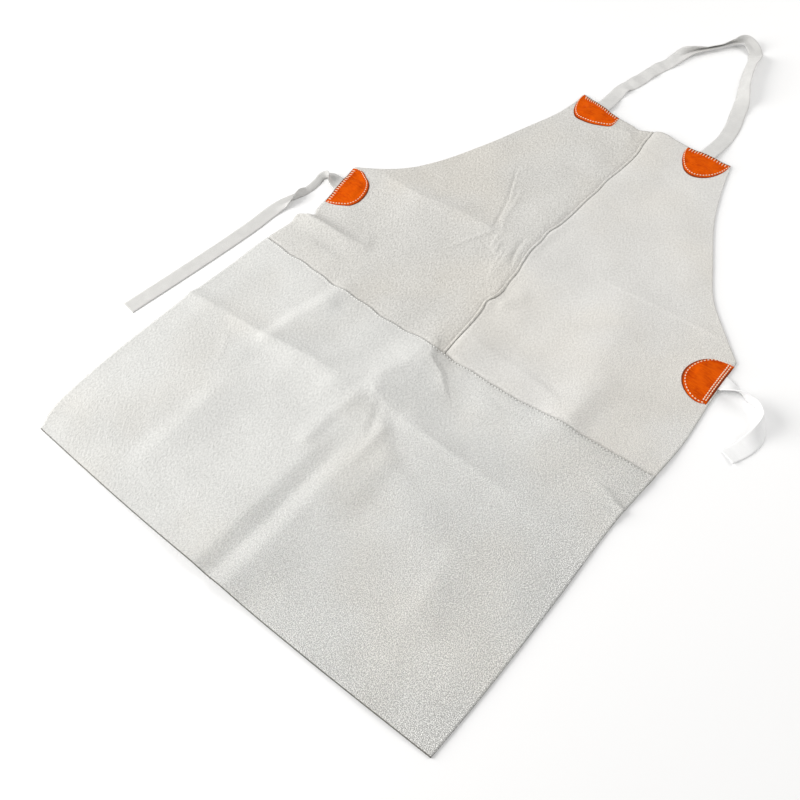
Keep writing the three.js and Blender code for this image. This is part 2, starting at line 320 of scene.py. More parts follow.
# %% Table of folds
FOLDS = [
    # name, crest of x, y and height, left slope, right slope, rounding
    ("lobe below the packing ridge",
     [(-0.111, 0.267, 0.0049), (-0.061, 0.266, 0.0113), (-0.045, 0.264, 0.0066)],
     0.054, 0.059, 0.8),
    ("hem crease",
     [(-0.003, -0.012, -0.0043), (0.000, 0.094, -0.0059), (0.001, 0.186, -0.0042),
      (0.009, 0.250, 0.0019)],
     0.025, 0.027, 0.8),
    ("swell along the hem crease",
     [(-0.007, -0.011, 0.0078), (0.005, 0.102, 0.0057), (0.010, 0.247, 0.0039)],
     0.150, 0.079, 1.0),
    ("ridge below the seams",
     [(-0.022, 0.307, 0.0119), (-0.010, 0.333, 0.0095), (-0.008, 0.392, 0.0058)],
     0.045, 0.104, 0.6),
    ("dent beside the crossing", [(0.033, 0.373, -0.0059), (0.052, 0.373, -0.0034)], 0.008, 0.059, 0.5),
    ("diagonal ridge",
     [(-0.154, 0.378, 0.0014), (-0.155, 0.351, 0.0050), (-0.168, 0.312, 0.0042),
      (-0.172, 0.272, 0.0049)],
     0.057, 0.022, 0.9),
    ("long ray of the star",
     [(0.014, 0.263, -0.0034), (0.062, 0.233, -0.0001), (0.113, 0.212, 0.0007),
      (0.146, 0.197, 0.0023)],
     0.023, 0.047, 0.6),
    ("left ray of the star",
     [(-0.026, 0.266, 0.0015), (-0.036, 0.225, 0.0016), (-0.035, 0.187, 0.0024)],
     0.014, 0.021, 0.8),
    ("short ray of the star", [(0.027, 0.251, 0.0026), (0.028, 0.199, 0.0008)], 0.014, 0.013, 0.40),
    ("swell right of the star", [(0.055, 0.216, 0.0023), (0.057, 0.154, 0.0017)], 0.026, 0.054, 0.7),
    ("lower right wrinkle",
     [(0.187, 0.181, 0.0010), (0.192, 0.137, 0.0024), (0.198, 0.106, 0.0025), (0.210, 0.070, -0.0003)],
     0.051, 0.022, 0.5),
    ("first lower right crease",
     [(0.198, 0.084, 0.0006), (0.213, 0.057, 0.0005), (0.228, 0.024, 0.0002)],
     0.006, 0.048, 0.4),
    ("second lower right crease",
     [(0.201, 0.144, 0.0004), (0.220, 0.108, 0.0005), (0.231, 0.072, -0.0004)],
     0.010, 0.021, 0.3),
    ("faint side crease",
     [(-0.168, 0.251, -0.0027), (-0.171, 0.158, 0.0019), (-0.170, 0.057, 0.0016)],
     0.048, 0.024, 0.7),
    ("wrinkle below the right seam", [(0.103, 0.351, 0.0016), (0.173, 0.351, 0.0004)], 0.013, 0.040, 0.5),
    ("wrinkle below the waist fold", [(-0.242, 0.416, 0.0016), (-0.203, 0.416, 0.0012)], 0.014, 0.029, 0.4),
    ("inner ray of the pucker", [(-0.022, 0.557, 0.0014), (-0.015, 0.508, 0.0005)], 0.0112, 0.0064, 0.50),
    ("bib bulge",
     [(0.150, 0.563, 0.0026), (0.167, 0.513, 0.0061), (0.174, 0.467, 0.0055), (0.182, 0.424, 0.0042),
      (0.179, 0.373, 0.0035)],
     0.088, 0.060, 0.8),
    ("dent beside the centre seam", [(0.025, 0.487, 0.0024), (0.036, 0.506, 0.0020)], 0.024, 0.017, 0.7),
    ("fold by the neck patch",
     [(-0.062, 0.833, 0.0016), (-0.048, 0.840, 0.0030), (-0.030, 0.847, 0.0036),
      (-0.020, 0.846, 0.0032), (-0.013, 0.838, 0.0020), (-0.010, 0.826, 0.0005)],
     0.017, 0.030, 0.10),
    ("crease under the neck",
     [(0.014, 0.830, 0.0004), (0.069, 0.815, 0.0005), (0.145, 0.800, 0.0004)],
     0.007, 0.022, 0.4),
    ("centre seam",
     [(0.010, 0.395, -0.0037), (0.007, 0.479, 0.0037), (0.002, 0.554, -0.0002), (0.001, 0.596, 0.0030),
      (0.012, 0.658, 0.0006), (0.011, 0.761, -0.0008), (0.003, 0.853, -0.0030)],
     0.069, 0.014, 0.3),
    ("lower swell left of the seam", [(-0.023, 0.689, 0.0009), (-0.018, 0.646, 0.0021)], 0.023, 0.045, 0.9),
    ("upper swell left of the seam", [(-0.038, 0.799, 0.0005), (-0.029, 0.771, 0.0018)], 0.038, 0.033, 0.8),
    ("steep side of the bulge", [(0.191, 0.451, 0.0033), (0.188, 0.393, 0.0065)], 0.030, 0.044, 0.7),
    ("dent beside the diagonal ridge",
     [(-0.152, 0.381, 0.0015), (-0.137, 0.360, -0.0022)],
     0.021, 0.024, 0.6),
    ("middle ray of the star", [(0.004, 0.269, -0.0010), (0.014, 0.244, -0.0018)], 0.008, 0.010, 0.40),
    ("crease along the long ray",
     [(0.026, 0.271, -0.0016), (0.059, 0.239, -0.0016), (0.112, 0.218, -0.0009),
      (0.145, 0.199, -0.0011)],
     0.028, 0.015, 0.7),
    ("packing ridge, skirt left",
     [(-0.317, 0.256, 0.0043), (-0.248, 0.263, 0.0027), (-0.179, 0.265, 0.0046),
      (-0.111, 0.273, 0.0041), (-0.059, 0.274, -0.0001), (-0.024, 0.274, -0.0007)],
     0.022, 0.024, 0.15),
    ("packing ridge, skirt right",
     [(-0.011, 0.281, 0.0035), (0.030, 0.275, 0.0014), (0.088, 0.273, 0.0057),
      (0.150, 0.273, 0.0034), (0.219, 0.271, 0.0005), (0.300, 0.270, 0.0003)],
     0.0306, 0.0225, 0.10),
    ("tuck below the crossing",
     [(-0.001, 0.386, 0.0018), (0.008, 0.362, 0.0036), (0.033, 0.351, 0.0036),
      (0.057, 0.331, 0.0009)],
     0.0045, 0.026, 0.05),
    ("edge wrinkle",
     [(0.250, 0.345, 0.0008), (0.273, 0.3405, 0.0030), (0.300, 0.331, 0.0044)],
     0.004, 0.020, 0.10),
    ("lower edge wrinkle", [(0.280, 0.321, 0.0010), (0.302, 0.3185, 0.0024)], 0.004, 0.014, 0.10),
    ("short wrinkle", [(0.208, 0.3675, 0.0006), (0.232, 0.3695, 0.0006)], 0.005, 0.008, 0.10),
    ("left edge crease", [(-0.316, 0.190, 0.0009), (-0.295, 0.189, 0.0005)], 0.005, 0.009, 0.10),
    ("waist fold",
     [(-0.295, 0.450, 0.0099), (-0.250, 0.450, 0.0082), (-0.204, 0.450, 0.0048),
      (-0.185, 0.455, 0.0031)],
     0.0202, 0.0304, 0.05),
    ("end of the waist fold",
     [(-0.190, 0.472, 0.0011), (-0.180, 0.463, 0.0009), (-0.170, 0.456, -0.0002)],
     0.010, 0.018, 0.3),
    ("packing ridge, bib left",
     [(-0.245, 0.575, 0.0035), (-0.180, 0.570, 0.0064), (-0.121, 0.579, 0.0056),
      (-0.070, 0.579, 0.0052), (-0.050, 0.581, 0.0040)],
     0.047, 0.067, 0.10),
    ("packing ridge, bib right",
     [(0.100, 0.593, 0.0005), (0.150, 0.595, 0.0008), (0.200, 0.5985, 0.0009),
      (0.265, 0.600, 0.0012)],
     0.0144, 0.0054, 0.10),
    ("rim below the bulge",
     [(0.038, 0.416, 0.0011), (0.095, 0.416, 0.0006), (0.139, 0.411, 0.0015), (0.157, 0.406, 0.0009),
      (0.167, 0.402, 0.0003)],
     0.009, 0.020, 0.20),
    ("outer ray of the pucker",
     [(-0.062, 0.574, 0.0014), (-0.075, 0.552, 0.0017), (-0.086, 0.534, 0.0015),
      (-0.093, 0.518, 0.0008)],
     0.0072, 0.0054, 0.15),
    ("first wrinkle, groove",
     [(-0.110, 0.700, -0.0005), (-0.099, 0.677, -0.0016), (-0.090, 0.657, -0.0020),
      (-0.082, 0.640, -0.0020), (-0.076, 0.620, -0.0019), (-0.070, 0.600, -0.0017),
      (-0.065, 0.585, -0.0012)],
     0.005, 0.004, 0.20),
    ("second wrinkle",
     [(-0.076, 0.662, 0.0008), (-0.071, 0.640, 0.0015), (-0.067, 0.622, 0.0013),
      (-0.063, 0.605, 0.0011), (-0.052, 0.586, 0.0009)],
     0.008, 0.004, 0.10),
    ("pucker groove",
     [(-0.018, 0.588, -0.0011), (-0.0165, 0.570, -0.0021), (-0.013, 0.556, -0.0022),
      (-0.008, 0.546, -0.0011)],
     0.0054, 0.0063, 0.30),
    ("first dent of the pucker",
     [(-0.050, 0.573, 0.0014), (-0.046, 0.556, 0.0016)],
     0.0063, 0.0045, 0.20),
    ("second dent of the pucker",
     [(-0.041, 0.566, 0.0014), (-0.038, 0.552, 0.0016)],
     0.0054, 0.0045, 0.20),
    ("groove left of the seam",
     [(-0.005, 0.625, -0.0010), (-0.006, 0.651, 0.0009), (-0.006, 0.668, 0.0006),
      (-0.009, 0.679, -0.0004)],
     0.011, 0.005, 0.4),
    ("side crease",
     [(-0.224, 0.239, 0.0005), (-0.212, 0.223, 0.0007), (-0.205, 0.205, 0.0005)],
     0.005, 0.009, 0.20),
    ("thin ray of the pucker", [(-0.029, 0.556, 0.0012), (-0.022, 0.520, 0.0010)], 0.0045, 0.0045, 0.15),
    ("first wrinkle, rim",
     [(-0.103, 0.694, 0.0004), (-0.094, 0.672, 0.0009), (-0.086, 0.656, 0.0012),
      (-0.079, 0.643, 0.0011), (-0.072, 0.622, 0.0009), (-0.066, 0.602, 0.0007)],
     0.004, 0.0045, 0.20),
    ("pucker notch", [(-0.006, 0.567, -0.001), (-0.003, 0.560, -0.0012)], 0.003, 0.004, 0.20),
]

# %% Height of the leather
LOFT = 0.0015
CONTACT_SOFTNESS = 0.0012


def unsettled(x, y):
    """Slow swells that are left in the leather after it was unfolded."""
    points = [Vector((a, b, 0)) for a, b in zip(x, y)]
    slow = np.array([noise.noise(p * 10) for p in points])
    quick = np.array([noise.noise(p * 31 + Vector((3, 5, 7))) for p in points])
    return 0.0007 * slow + 0.0003 * quick


def lift(x, y):
    """Height of the leather's underside above the surface that it lies on."""
    inside = np.minimum(right_edge(y) - x, x - left_edge(y))
    height = LOFT * ease(inside, 0, 0.040) + unsettled(x, y)
    height += sum(fold_height(*fold[1:], x, y) for fold in FOLDS)
    return (height + np.sqrt(height ** 2 + CONTACT_SOFTNESS ** 2)) / 2


print(len(FOLDS), "folds")

# %% [markdown]
# ## Split leather
# Split leather is the inner layer of a hide: no smooth grain, but a short nap of fibres with
# darker flecks, blotches where the hide was denser, and pebbles where it came from the belly.
# The nap is a node group that puts out a colour and a height, because the panels and their cut
# edges both use it with other values.

# %% Node helpers


def link(tree, source, target):
    tree.links.new(source, target)


def add_node(tree, kind, settings=None, inputs=None):
    """A node with its settings and the values or links of its inputs."""
    node = tree.nodes.new(kind)
    for name, value in (settings or {}).items():
        setattr(node, name, value)
    for name, value in (inputs or {}).items():
        if isinstance(value, bpy.types.NodeSocket):
            link(tree, value, node.inputs[name])
        else:
            node.inputs[name].default_value = value
    return node


def new_group(name, inputs, outputs):
    """An empty shader group with named sockets; each is a name, a kind and a default."""
    tree = bpy.data.node_groups.new(name, "ShaderNodeTree")
    for label, kind, default in inputs:
        socket = tree.interface.new_socket(label, in_out="INPUT", socket_type=kind)
        socket.default_value = default
    for label, kind in outputs:
        tree.interface.new_socket(label, in_out="OUTPUT", socket_type=kind)
    return tree, tree.nodes.new("NodeGroupInput").outputs, tree.nodes.new("NodeGroupOutput").inputs


def maths(tree, operation, a, b=0.0):
    return add_node(tree, "ShaderNodeMath", {"operation": operation}, {0: a, 1: b}).outputs[0]


def blend_colours(tree, share, first, second, kind="MIX"):
    mix = add_node(tree, "ShaderNodeMix", {"data_type": "RGBA", "blend_type": kind})
    for name, value in (("Factor_Float", share), ("A_Color", first), ("B_Color", second)):
        socket = next(s for s in mix.inputs if s.identifier == name)
        if isinstance(value, bpy.types.NodeSocket):
            link(tree, value, socket)
        else:
            socket.default_value = value
    return next(s for s in mix.outputs if s.identifier == "Result_Color")


def spread(tree, value, low, high):
    """Stretches the range from low to high over 0 to 1."""
    node = add_node(tree, "ShaderNodeMapRange", {"interpolation_type": "SMOOTHSTEP"},
                    {"Value": value, "From Min": low, "From Max": high})
    return node.outputs["Result"]


def speckle(tree, vector, scale, detail=2.0, roughness=0.5, dimensions="3D"):
    return add_node(tree, "ShaderNodeTexNoise", {"noise_dimensions": dimensions}, {
        "Vector": vector, "Scale": scale, "Detail": detail, "Roughness": roughness}).outputs["Fac"]


# %% Nap of split leather
nap, nap_in, nap_out = new_group(
    "split leather nap",
    [
        ("Light", "NodeSocketColor", (0.72, 0.71, 0.68, 1)),
        ("Dark", "NodeSocketColor", (0.60, 0.59, 0.56, 1)),
        ("Warm", "NodeSocketColor", (0.98, 0.95, 0.90, 1)),
        ("Grain", "NodeSocketFloat", 1.0),
        ("Pebble", "NodeSocketFloat", 1.0),
    ],
    [("Color", "NodeSocketColor"), ("Height", "NodeSocketFloat")],
)
place = add_node(nap, "ShaderNodeTexCoord").outputs["Object"]
brushed = add_node(nap, "ShaderNodeMapping", None, {
    "Vector": place, "Rotation": (0, 0, math.radians(45)), "Scale": (1, 0.7, 1)}).outputs["Vector"]
across_hide = add_node(nap, "ShaderNodeSeparateXYZ", None, {"Vector": place}).outputs

belly = maths(nap, "SUBTRACT", across_hide["X"], maths(nap, "MULTIPLY", across_hide["Y"], 0.45))
belly = maths(nap, "ADD", belly, maths(nap, "MULTIPLY", speckle(nap, place, 7, 3), 0.25))
belly = maths(nap, "MULTIPLY", spread(nap, belly, 0.14, 0.56), nap_in["Pebble"])

blotch = spread(nap, speckle(nap, place, 13, 4), 0.3, 0.7)
fibre = speckle(nap, brushed, 430, 2, 0.7, "2D")
grit = spread(nap, speckle(nap, place, 1080, 0, 0.5, "2D"), 0.3, 0.7)

tone = maths(nap, "ADD", maths(nap, "MULTIPLY", blotch, 0.18), 0.41)
flecks = maths(nap, "MULTIPLY", maths(nap, "SUBTRACT", fibre, 0.5), nap_in["Grain"])
tone = maths(nap, "ADD", tone, flecks)
colour = blend_colours(nap, tone, nap_in["Dark"], nap_in["Light"])
# Pebble tone: random grit in the colour, which also paints the shade of the pebbles' pits that the bump is
# too fine to show; the pebbled part is a little lighter overall.
pebble_tone_and_shade = maths(nap, "ADD", maths(nap, "MULTIPLY", maths(nap, "SUBTRACT", grit, 0.5), 0.88), 0.17)
pebble_tone_and_shade = maths(nap, "ADD", maths(nap, "MULTIPLY", pebble_tone_and_shade, belly), 1.0)
colour = blend_colours(nap, 1.0, colour, pebble_tone_and_shade, "MULTIPLY")
stain = spread(nap, speckle(nap, place, 5.5, 3), 0.42, 0.66)
colour = blend_colours(nap, stain, colour, blend_colours(nap, 1.0, colour, nap_in["Warm"], "MULTIPLY"))
link(nap, colour, nap_out["Color"])

height = maths(nap, "MULTIPLY", fibre, nap_in["Grain"])
link(nap, maths(nap, "ADD", height, maths(nap, "MULTIPLY", grit, belly)), nap_out["Height"])
print("nap group:", len(nap.nodes), "nodes")

# %% Leather of the panels and of their cut edges


def new_material(name, roughness, specular):
    """A material with its node tree and its shader."""
    material = bpy.data.materials.new(name)
    material.use_nodes = True
    shader = material.node_tree.nodes["Principled BSDF"]
    shader.inputs["Roughness"].default_value = roughness
    shader.inputs["Specular IOR Level"].default_value = specular
    return material, material.node_tree, shader


def add_relief(tree, shader, height, strength, distance):
    bump = add_node(tree, "ShaderNodeBump", None, {
        "Strength": strength, "Distance": distance, "Height": height})
    link(tree, bump.outputs["Normal"], shader.inputs["Normal"])


def split_leather(name, light, dark, warm, grain, pebble):
    material, tree, shader = new_material(name, 0.95, 0.15)
    shader.inputs["Sheen Weight"].default_value = 0.12
    shader.inputs["Sheen Roughness"].default_value = 0.6
    finish = add_node(tree, "ShaderNodeGroup", {"node_tree": nap}, {
        "Light": light, "Dark": dark, "Warm": warm, "Grain": grain, "Pebble": pebble})
    link(tree, finish.outputs["Color"], shader.inputs["Base Color"])
    add_relief(tree, shader, finish.outputs["Height"], 0.9, 0.0007)
    return material


SUEDES = {
    # piece: light, dark, warm, grain, pebble
    "skirt": ((0.782, 0.782, 0.760, 1), (0.525, 0.525, 0.509, 1), (1.0, 0.985, 0.965, 1), 1.35, 1.0),
    "left bib": ((0.765, 0.755, 0.724, 1), (0.512, 0.503, 0.476, 1), (1.0, 0.98, 0.95, 1), 1.8, 0.4),
    "right bib": ((0.812, 0.803, 0.775, 1), (0.56, 0.55, 0.527, 1), (1.0, 0.985, 0.96, 1), 1.1, 0.6),
}
suedes = {piece: split_leather(piece + " leather", *look) for piece, look in SUEDES.items()}
# Dark colour of the cut edges: partly the fibres inside the hide, partly painted shade where an edge stands
# in its own shadow.
edge_and_painted_shade = split_leather(
    "cut edge", (0.22, 0.215, 0.20, 1), (0.12, 0.117, 0.108, 1), (1.0, 0.97, 0.92, 1), 1.0, 0.0)
print("materials:", ", ".join(m.name for m in suedes.values()), "and", edge_and_painted_shade.name)

# %% [markdown]
# ## The three panels
# A panel is a flat grid that is drawn out to its cut, laid over the folds and given the leather's
# thickness by a Solidify modifier. The rows are closer together near the seams, where the shape
# changes fastest. At the seams one panel laps over the other: the left half of the bib over the
# right half, and the skirt over both. A small lip stands up along each lap. The cut edges are dark,
# partly for the darker fibres inside the hide and partly as painted shade where an edge stands in
# its own shadow; at the hem a narrow first row of the grid is painted with the same dark colour,
# as a painted shadow line along the hem.

# %% Sheet helpers
LAYER = LEATHER + 0.0002


def laid_sheet(name, columns, rows, place_points, thickness_share=None):
    """A grid whose points, given as shares across and along, are put in place by a function."""
    bm = bmesh.new()
    bm.loops.layers.uv.new("UVMap")
    bmesh.ops.create_grid(bm, x_segments=columns, y_segments=rows, size=0.5, calc_uvs=True)
    flat = np.array([v.co for v in bm.verts]) + 0.5
    for vertex, point in zip(bm.verts, place_points(flat[:, 0], flat[:, 1])):
        vertex.co = point
    for face in bm.faces:
        face.smooth = True
    mesh = bpy.data.meshes.new(name)
    bm.to_mesh(mesh)
    bm.free()
    sheet = bpy.data.objects.new(name, mesh)
    bpy.context.collection.objects.link(sheet)
    if thickness_share:
        group = sheet.vertex_groups.new(name="thickness")
        for index, share in enumerate(thickness_share(flat[:, 0], flat[:, 1])):
            group.add([index], share, "REPLACE")
    return sheet


def outermost(sheet, material, near, far):
    """Gives a material to the faces within a share of the sheet's near and far ends."""
    uv = sheet.data.uv_layers[0].data
    for face in sheet.data.polygons:
        share = sum(uv[i].uv[1] for i in face.loop_indices) / face.loop_total
        if share < near or share > 1 - far:
            face.material_index = material


def thicken(sheet, thickness, rim_material=0):
    solid = sheet.modifiers.new("thickness", "SOLIDIFY")
    solid.thickness = thickness
    solid.offset = 1
    if sheet.vertex_groups:
        solid.vertex_group = sheet.vertex_groups[0].name
    solid.material_offset_rim = rim_material


def belongs(piece, slot, *nodes):
    """The piece rides on the apron and stands for its solids, which it hides; its slot is not used."""
    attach(piece, "root")
    if nodes:
        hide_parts(*nodes)


# %% Laps and lips of the seams
LAP_RISE = 0.060
LAP_FALL = 0.070

LIP = np.array([
    # y, height of the lip along the centre seam, share of the thickness left at the edge
    (0.388, 0.0008, 0.60), (0.470, 0.0009, 0.55), (0.480, 0.0002, 0.40), (0.486, 0.0015, 0.80),
    (0.500, 0.0016, 0.80), (0.508, 0.0006, 0.40), (0.545, 0.0009, 0.32), (0.556, 0.0012, 0.40),
    (0.575, 0.0012, 0.40), (0.590, 0.0007, 0.32), (0.620, 0.0010, 0.34), (0.640, 0.0011, 0.36),
    (0.700, 0.0009, 0.32), (0.745, 0.0008, 0.30), (0.780, 0.0008, 0.32), (0.830, 0.0010, 0.50),
    (0.845, 0.0008, 0.50), (0.880, 0.0005, 0.40),
])


def skived(distance, left):
    """Share of the thickness near a lapped edge, which is pared down so that the seam lies flat."""
    return left + (1 - left) * ease(distance, 0.0005, 0.010)


def under_centre_lap(x, level):
    """How far a top layer is raised by the lap below it: gently up to the lap, and gently down."""
    seam = centre_seam(level)
    return ease(x, seam - LAP_RISE, seam - LAP) * (1 - ease(x, seam, seam + LAP_FALL))


def centre_lip(x, level):
    """The left panel's rolled edge, with the groove that the thread pulls beside it."""
    from_edge = x - centre_seam(level)
    roll = np.exp(-((from_edge + 0.0012) / 0.0011) ** 2)
    groove = np.exp(-((from_edge + 0.0034) / 0.0013) ** 2)
    return np.interp(level, LIP[:, 0], LIP[:, 1]) * (roll - 0.6 * groove)


def past_lap(distance):
    """Beyond a lap the lower panel comes up almost level with the upper one."""
    return 0.85 * ease(distance, 0.0004, 0.0045) * (1 - ease(distance, LAP, LAP_FALL))


print("lip along the centre seam up to", LIP[:, 1].max(), "m high")


# %% Skirt
# The narrow first row at the hem is painted dark, as a painted shadow line under the hem's edge.
HEM_SHADE_ROW = 0.0011
HEM_SHADE_ROW_SHARE = 0.005


def skirt_surface(x, level):
    """Underside of the skirt, which rises over the bib at the cross seam."""
    y = drawn_height(x, level)
    lapped = ease(level, CROSS_SEAM_Y - LAP_RISE, CROSS_SEAM_Y - LAP)
    lip = 0.0005 * ease(level, CROSS_SEAM_Y - 0.004, CROSS_SEAM_Y - 0.001)
    return to_frame(x, y, lift(x, y) + LAYER * lapped * (1 + under_centre_lap(x, level)) + lip)


def skirt_level(along):
    return np.interp(along, [0, HEM_SHADE_ROW_SHARE, 0.44, 0.66, 0.82, 1], [
        0, HEM_SHADE_ROW, 0.210, 0.290, 0.350, CROSS_SEAM_Y])


def skirt_points(across, along):
    level = skirt_level(along)
    x = left_edge(level) + (right_edge(level) - left_edge(level)) * across
    return skirt_surface(x, level)


def skirt_thickness(across, along):
    left = np.interp(across, [0, 0.45, 0.6, 1], [0.8, 0.7, 0.4, 0.5])
    return skived(CROSS_SEAM_Y - skirt_level(along), left)


skirt = laid_sheet("skirt_panel", 235, 200, skirt_points, skirt_thickness)
skirt.data.materials.append(suedes["skirt"])
skirt.data.materials.append(edge_and_painted_shade)
# The hem's first row takes the dark edge colour: painted shadow along the hem.
outermost(skirt, 1, HEM_SHADE_ROW_SHARE, 0)
thicken(skirt, LEATHER, 1)
belongs(skirt, "split_leather", "skirt")
print("skirt", len(skirt.data.polygons), "faces")

# %% Left half of the bib
def bib_level(along):
    return np.interp(along, [0, 0.12, 0.40, 0.62, 1], [
        CROSS_SEAM_Y - LAP, CROSS_SEAM_Y + 0.025, 0.530, 0.620, LENGTH])


def bib_left_x(across, level):
    share = np.interp(across, [0, 0.25, 0.70, 0.84, 1], [0, 0.42, 0.86, 0.965, 1])
    return left_edge(level) + (centre_seam(level) - left_edge(level)) * share


def bib_left_points(across, along):
    level = bib_level(along)
    x = bib_left_x(across, level)
    y = drawn_height(x, level)
    raised = under_centre_lap(x, level) + past_lap(level - CROSS_SEAM_Y)
    return to_frame(x, y, lift(x, y) + LAYER * raised + centre_lip(x, level))


def bib_left_thickness(across, along):
    level = bib_level(along)
    left = np.interp(level, LIP[:, 0], LIP[:, 2])
    return skived(centre_seam(level) - bib_left_x(across, level), left)


# %% Right half of the bib
def bib_right_points(across, along):
    level = bib_level(along)
    seam = centre_seam(level)
    share = np.interp(across, [0, 0.22, 1], [0, 0.1, 1])
    x = seam - LAP + (right_edge(level) - seam + LAP) * share
    y = drawn_height(x, level)
    raised = past_lap(x - seam) + past_lap(level - CROSS_SEAM_Y)
    return to_frame(x, y, lift(x, y) + LAYER * raised)


BIB_PANELS = [
    # piece, node, points, thickness, flat area, leather
    ("bib_panel_left", "bib_left", bib_left_points, bib_left_thickness, 0.1170, suedes["left bib"]),
    ("bib_panel_right", "bib_right", bib_right_points, None, 0.1256, suedes["right bib"]),
]
for name, node, points, thickness, area, leather in BIB_PANELS:
    bib = laid_sheet(name, 160, 295, points, thickness)
    bib.data.materials.append(leather)
    bib.data.materials.append(edge_and_painted_shade)
    thicken(bib, LEATHER, 1)
    belongs(bib, "split_leather", node)
    print(name, len(bib.data.polygons), "faces")

# %% [markdown]
# ## Stitching
# A stitch is a short length of thread that swells in the middle and dives into the leather at
# both ends. A squashed ball with few faces is enough for one, and a row of them is joined into
# a single piece. The cross seam has a row of topstitching just below its edge, and past the middle
# dark dots between the stitches are painted shade in the needle holes.

# %% Thread
def twisted_thread(name, roughness, dark, light):
    material, tree, shader = new_material(name, roughness, 0.2)
    place = add_node(tree, "ShaderNodeTexCoord").outputs["Object"]
    twist = speckle(tree, place, 1400, 2)
    link(tree, blend_colours(tree, twist, dark, light), shader.inputs["Base Color"])
    add_relief(tree, shader, twist, 0.4, 0.0003)
    return material


thread = twisted_thread("cream thread", 0.7, (0.80, 0.62, 0.42, 1), (0.98, 0.86, 0.68, 1))
pale_thread = twisted_thread("leather coloured thread", 0.8, (0.78, 0.775, 0.75, 1), (0.95, 0.945, 0.92, 1))
print("threads:", thread.name, "and", pale_thread.name)

# %% Stitch helpers


def stitch(bm, start, end, radius):
    """One stitch between two points."""
    run = Vector(end) - Vector(start)
    middle = (Vector(start) + Vector(end)) / 2
    turn = run.to_track_quat("Z", "Y").to_matrix().to_4x4()
    size = Matrix.Diagonal((radius, radius, run.length / 2, 1))
    bmesh.ops.create_uvsphere(bm, u_segments=8, v_segments=5, radius=1,
                              matrix=Matrix.Translation(middle) @ turn @ size)


def evenly(path, pitch, share):
    """Starts and ends of stitches along a path, each taking a share of the pitch."""
    steps = np.linalg.norm(np.diff(path, axis=0), axis=1)
    marks = np.concatenate([[0], np.cumsum(steps)])
    count = max(1, int(marks[-1] / pitch))
    starts = (np.arange(count) + (1 - share) / 2) * marks[-1] / count
    ends = starts + share * marks[-1] / count
    read = [np.interp(np.stack([starts, ends]), marks, path[:, k]) for k in range(3)]
    return np.stack(read, axis=-1)


def finish_stitches(bm, name, material):
    for face in bm.faces:
        face.smooth = True
    mesh = bpy.data.meshes.new(name)
    bm.to_mesh(mesh)
    bm.free()
    row = bpy.data.objects.new(name, mesh)
    row.data.materials.append(material)
    bpy.context.collection.objects.link(row)
    return row


# %% Topstitching of the cross seam
TOPSTITCH_IN = 0.0017
TOPSTITCH_PITCH = 0.0042
TOPSTITCH_SHARE = 0.56
TOPSTITCH_RADIUS = 0.0006

x = np.linspace(-0.293, 0.297, 900)
row = skirt_surface(x, np.full_like(x, CROSS_SEAM_Y - TOPSTITCH_IN))
row[:, 2] += LEATHER + 0.0001
starts, ends = evenly(row, TOPSTITCH_PITCH, TOPSTITCH_SHARE)
bm = bmesh.new()
for start, end in zip(starts, ends):
    stitch(bm, start, end, TOPSTITCH_RADIUS)
topstitch = finish_stitches(bm, "cross_seam_topstitch", pale_thread)
belongs(topstitch, "split_leather")
print("topstitch", len(topstitch.data.polygons), "faces")

# %% Painted shade in the needle holes of the cross seam
NEEDLE_HOLE_SHADE_RADIUS = 0.00036
NEEDLE_HOLE_SHADE_FROM = 0

# The dark dots between the stitches are painted shade in the needle holes, in the dark edge colour.
bm = bmesh.new()
for end, start in zip(ends[:-1], starts[1:]):
    if end[0] > NEEDLE_HOLE_SHADE_FROM:
        stitch(bm, end, start, NEEDLE_HOLE_SHADE_RADIUS)
needle_hole_shade = finish_stitches(bm, "cross_seam_needle_hole_shade", edge_and_painted_shade)
belongs(needle_hole_shade, "split_leather")
print("needle holes", len(needle_hole_shade.data.polygons), "faces")

# %% [markdown]
# ## Corner patches
# The patches are half-moons of smooth orange leather, sewn over the ends of the tapes. They were
# cut by hand, so no two are alike: each is a table of places round its arc, from one end of its
# straight side to the other. The tape's end shows through as a low swelling, and the stitching
# pulls the rim down.

# %% Orange leather
orange, tree, shader = new_material("orange leather", 0.6, 0.03)
place = add_node(tree, "ShaderNodeTexCoord").outputs["Object"]
clouds = spread(tree, speckle(tree, place, 70, 4), 0.3, 0.7)
streaks = add_node(tree, "ShaderNodeMapping", None, {"Vector": place, "Scale": (1, 5, 1)}).outputs["Vector"]
rubbed = spread(tree, speckle(tree, streaks, 130, 3), 0.35, 0.65)
pores = add_node(tree, "ShaderNodeTexVoronoi", None, {"Vector": place, "Scale": 1000}).outputs["Distance"]
colour = blend_colours(tree, clouds, (0.52, 0.052, 0.0004, 1), (0.72, 0.094, 0.0008, 1))
colour = blend_colours(tree, maths(tree, "MULTIPLY", rubbed, 0.55), colour, (0.80, 0.125, 0.001, 1))
link(tree, colour, shader.inputs["Base Color"])
grain = maths(tree, "ADD", pores, maths(tree, "MULTIPLY", clouds, 0.8))
add_relief(tree, shader, grain, 0.3, 0.0004)

burnt, tree, shader = new_material("burnt orange edge", 0.8, 0.2)
place = add_node(tree, "ShaderNodeTexCoord").outputs["Object"]
fibres = speckle(tree, place, 500, 3)
colour = blend_colours(tree, fibres, (0.13, 0.022, 0.003, 1), (0.34, 0.052, 0.003, 1))
link(tree, colour, shader.inputs["Base Color"])
print("patch materials:", orange.name, "and", burnt.name)

# %% Shape of a patch
ROOM_FOR_TAPE = 0.0014
TAPE_WIDTH = 0.022

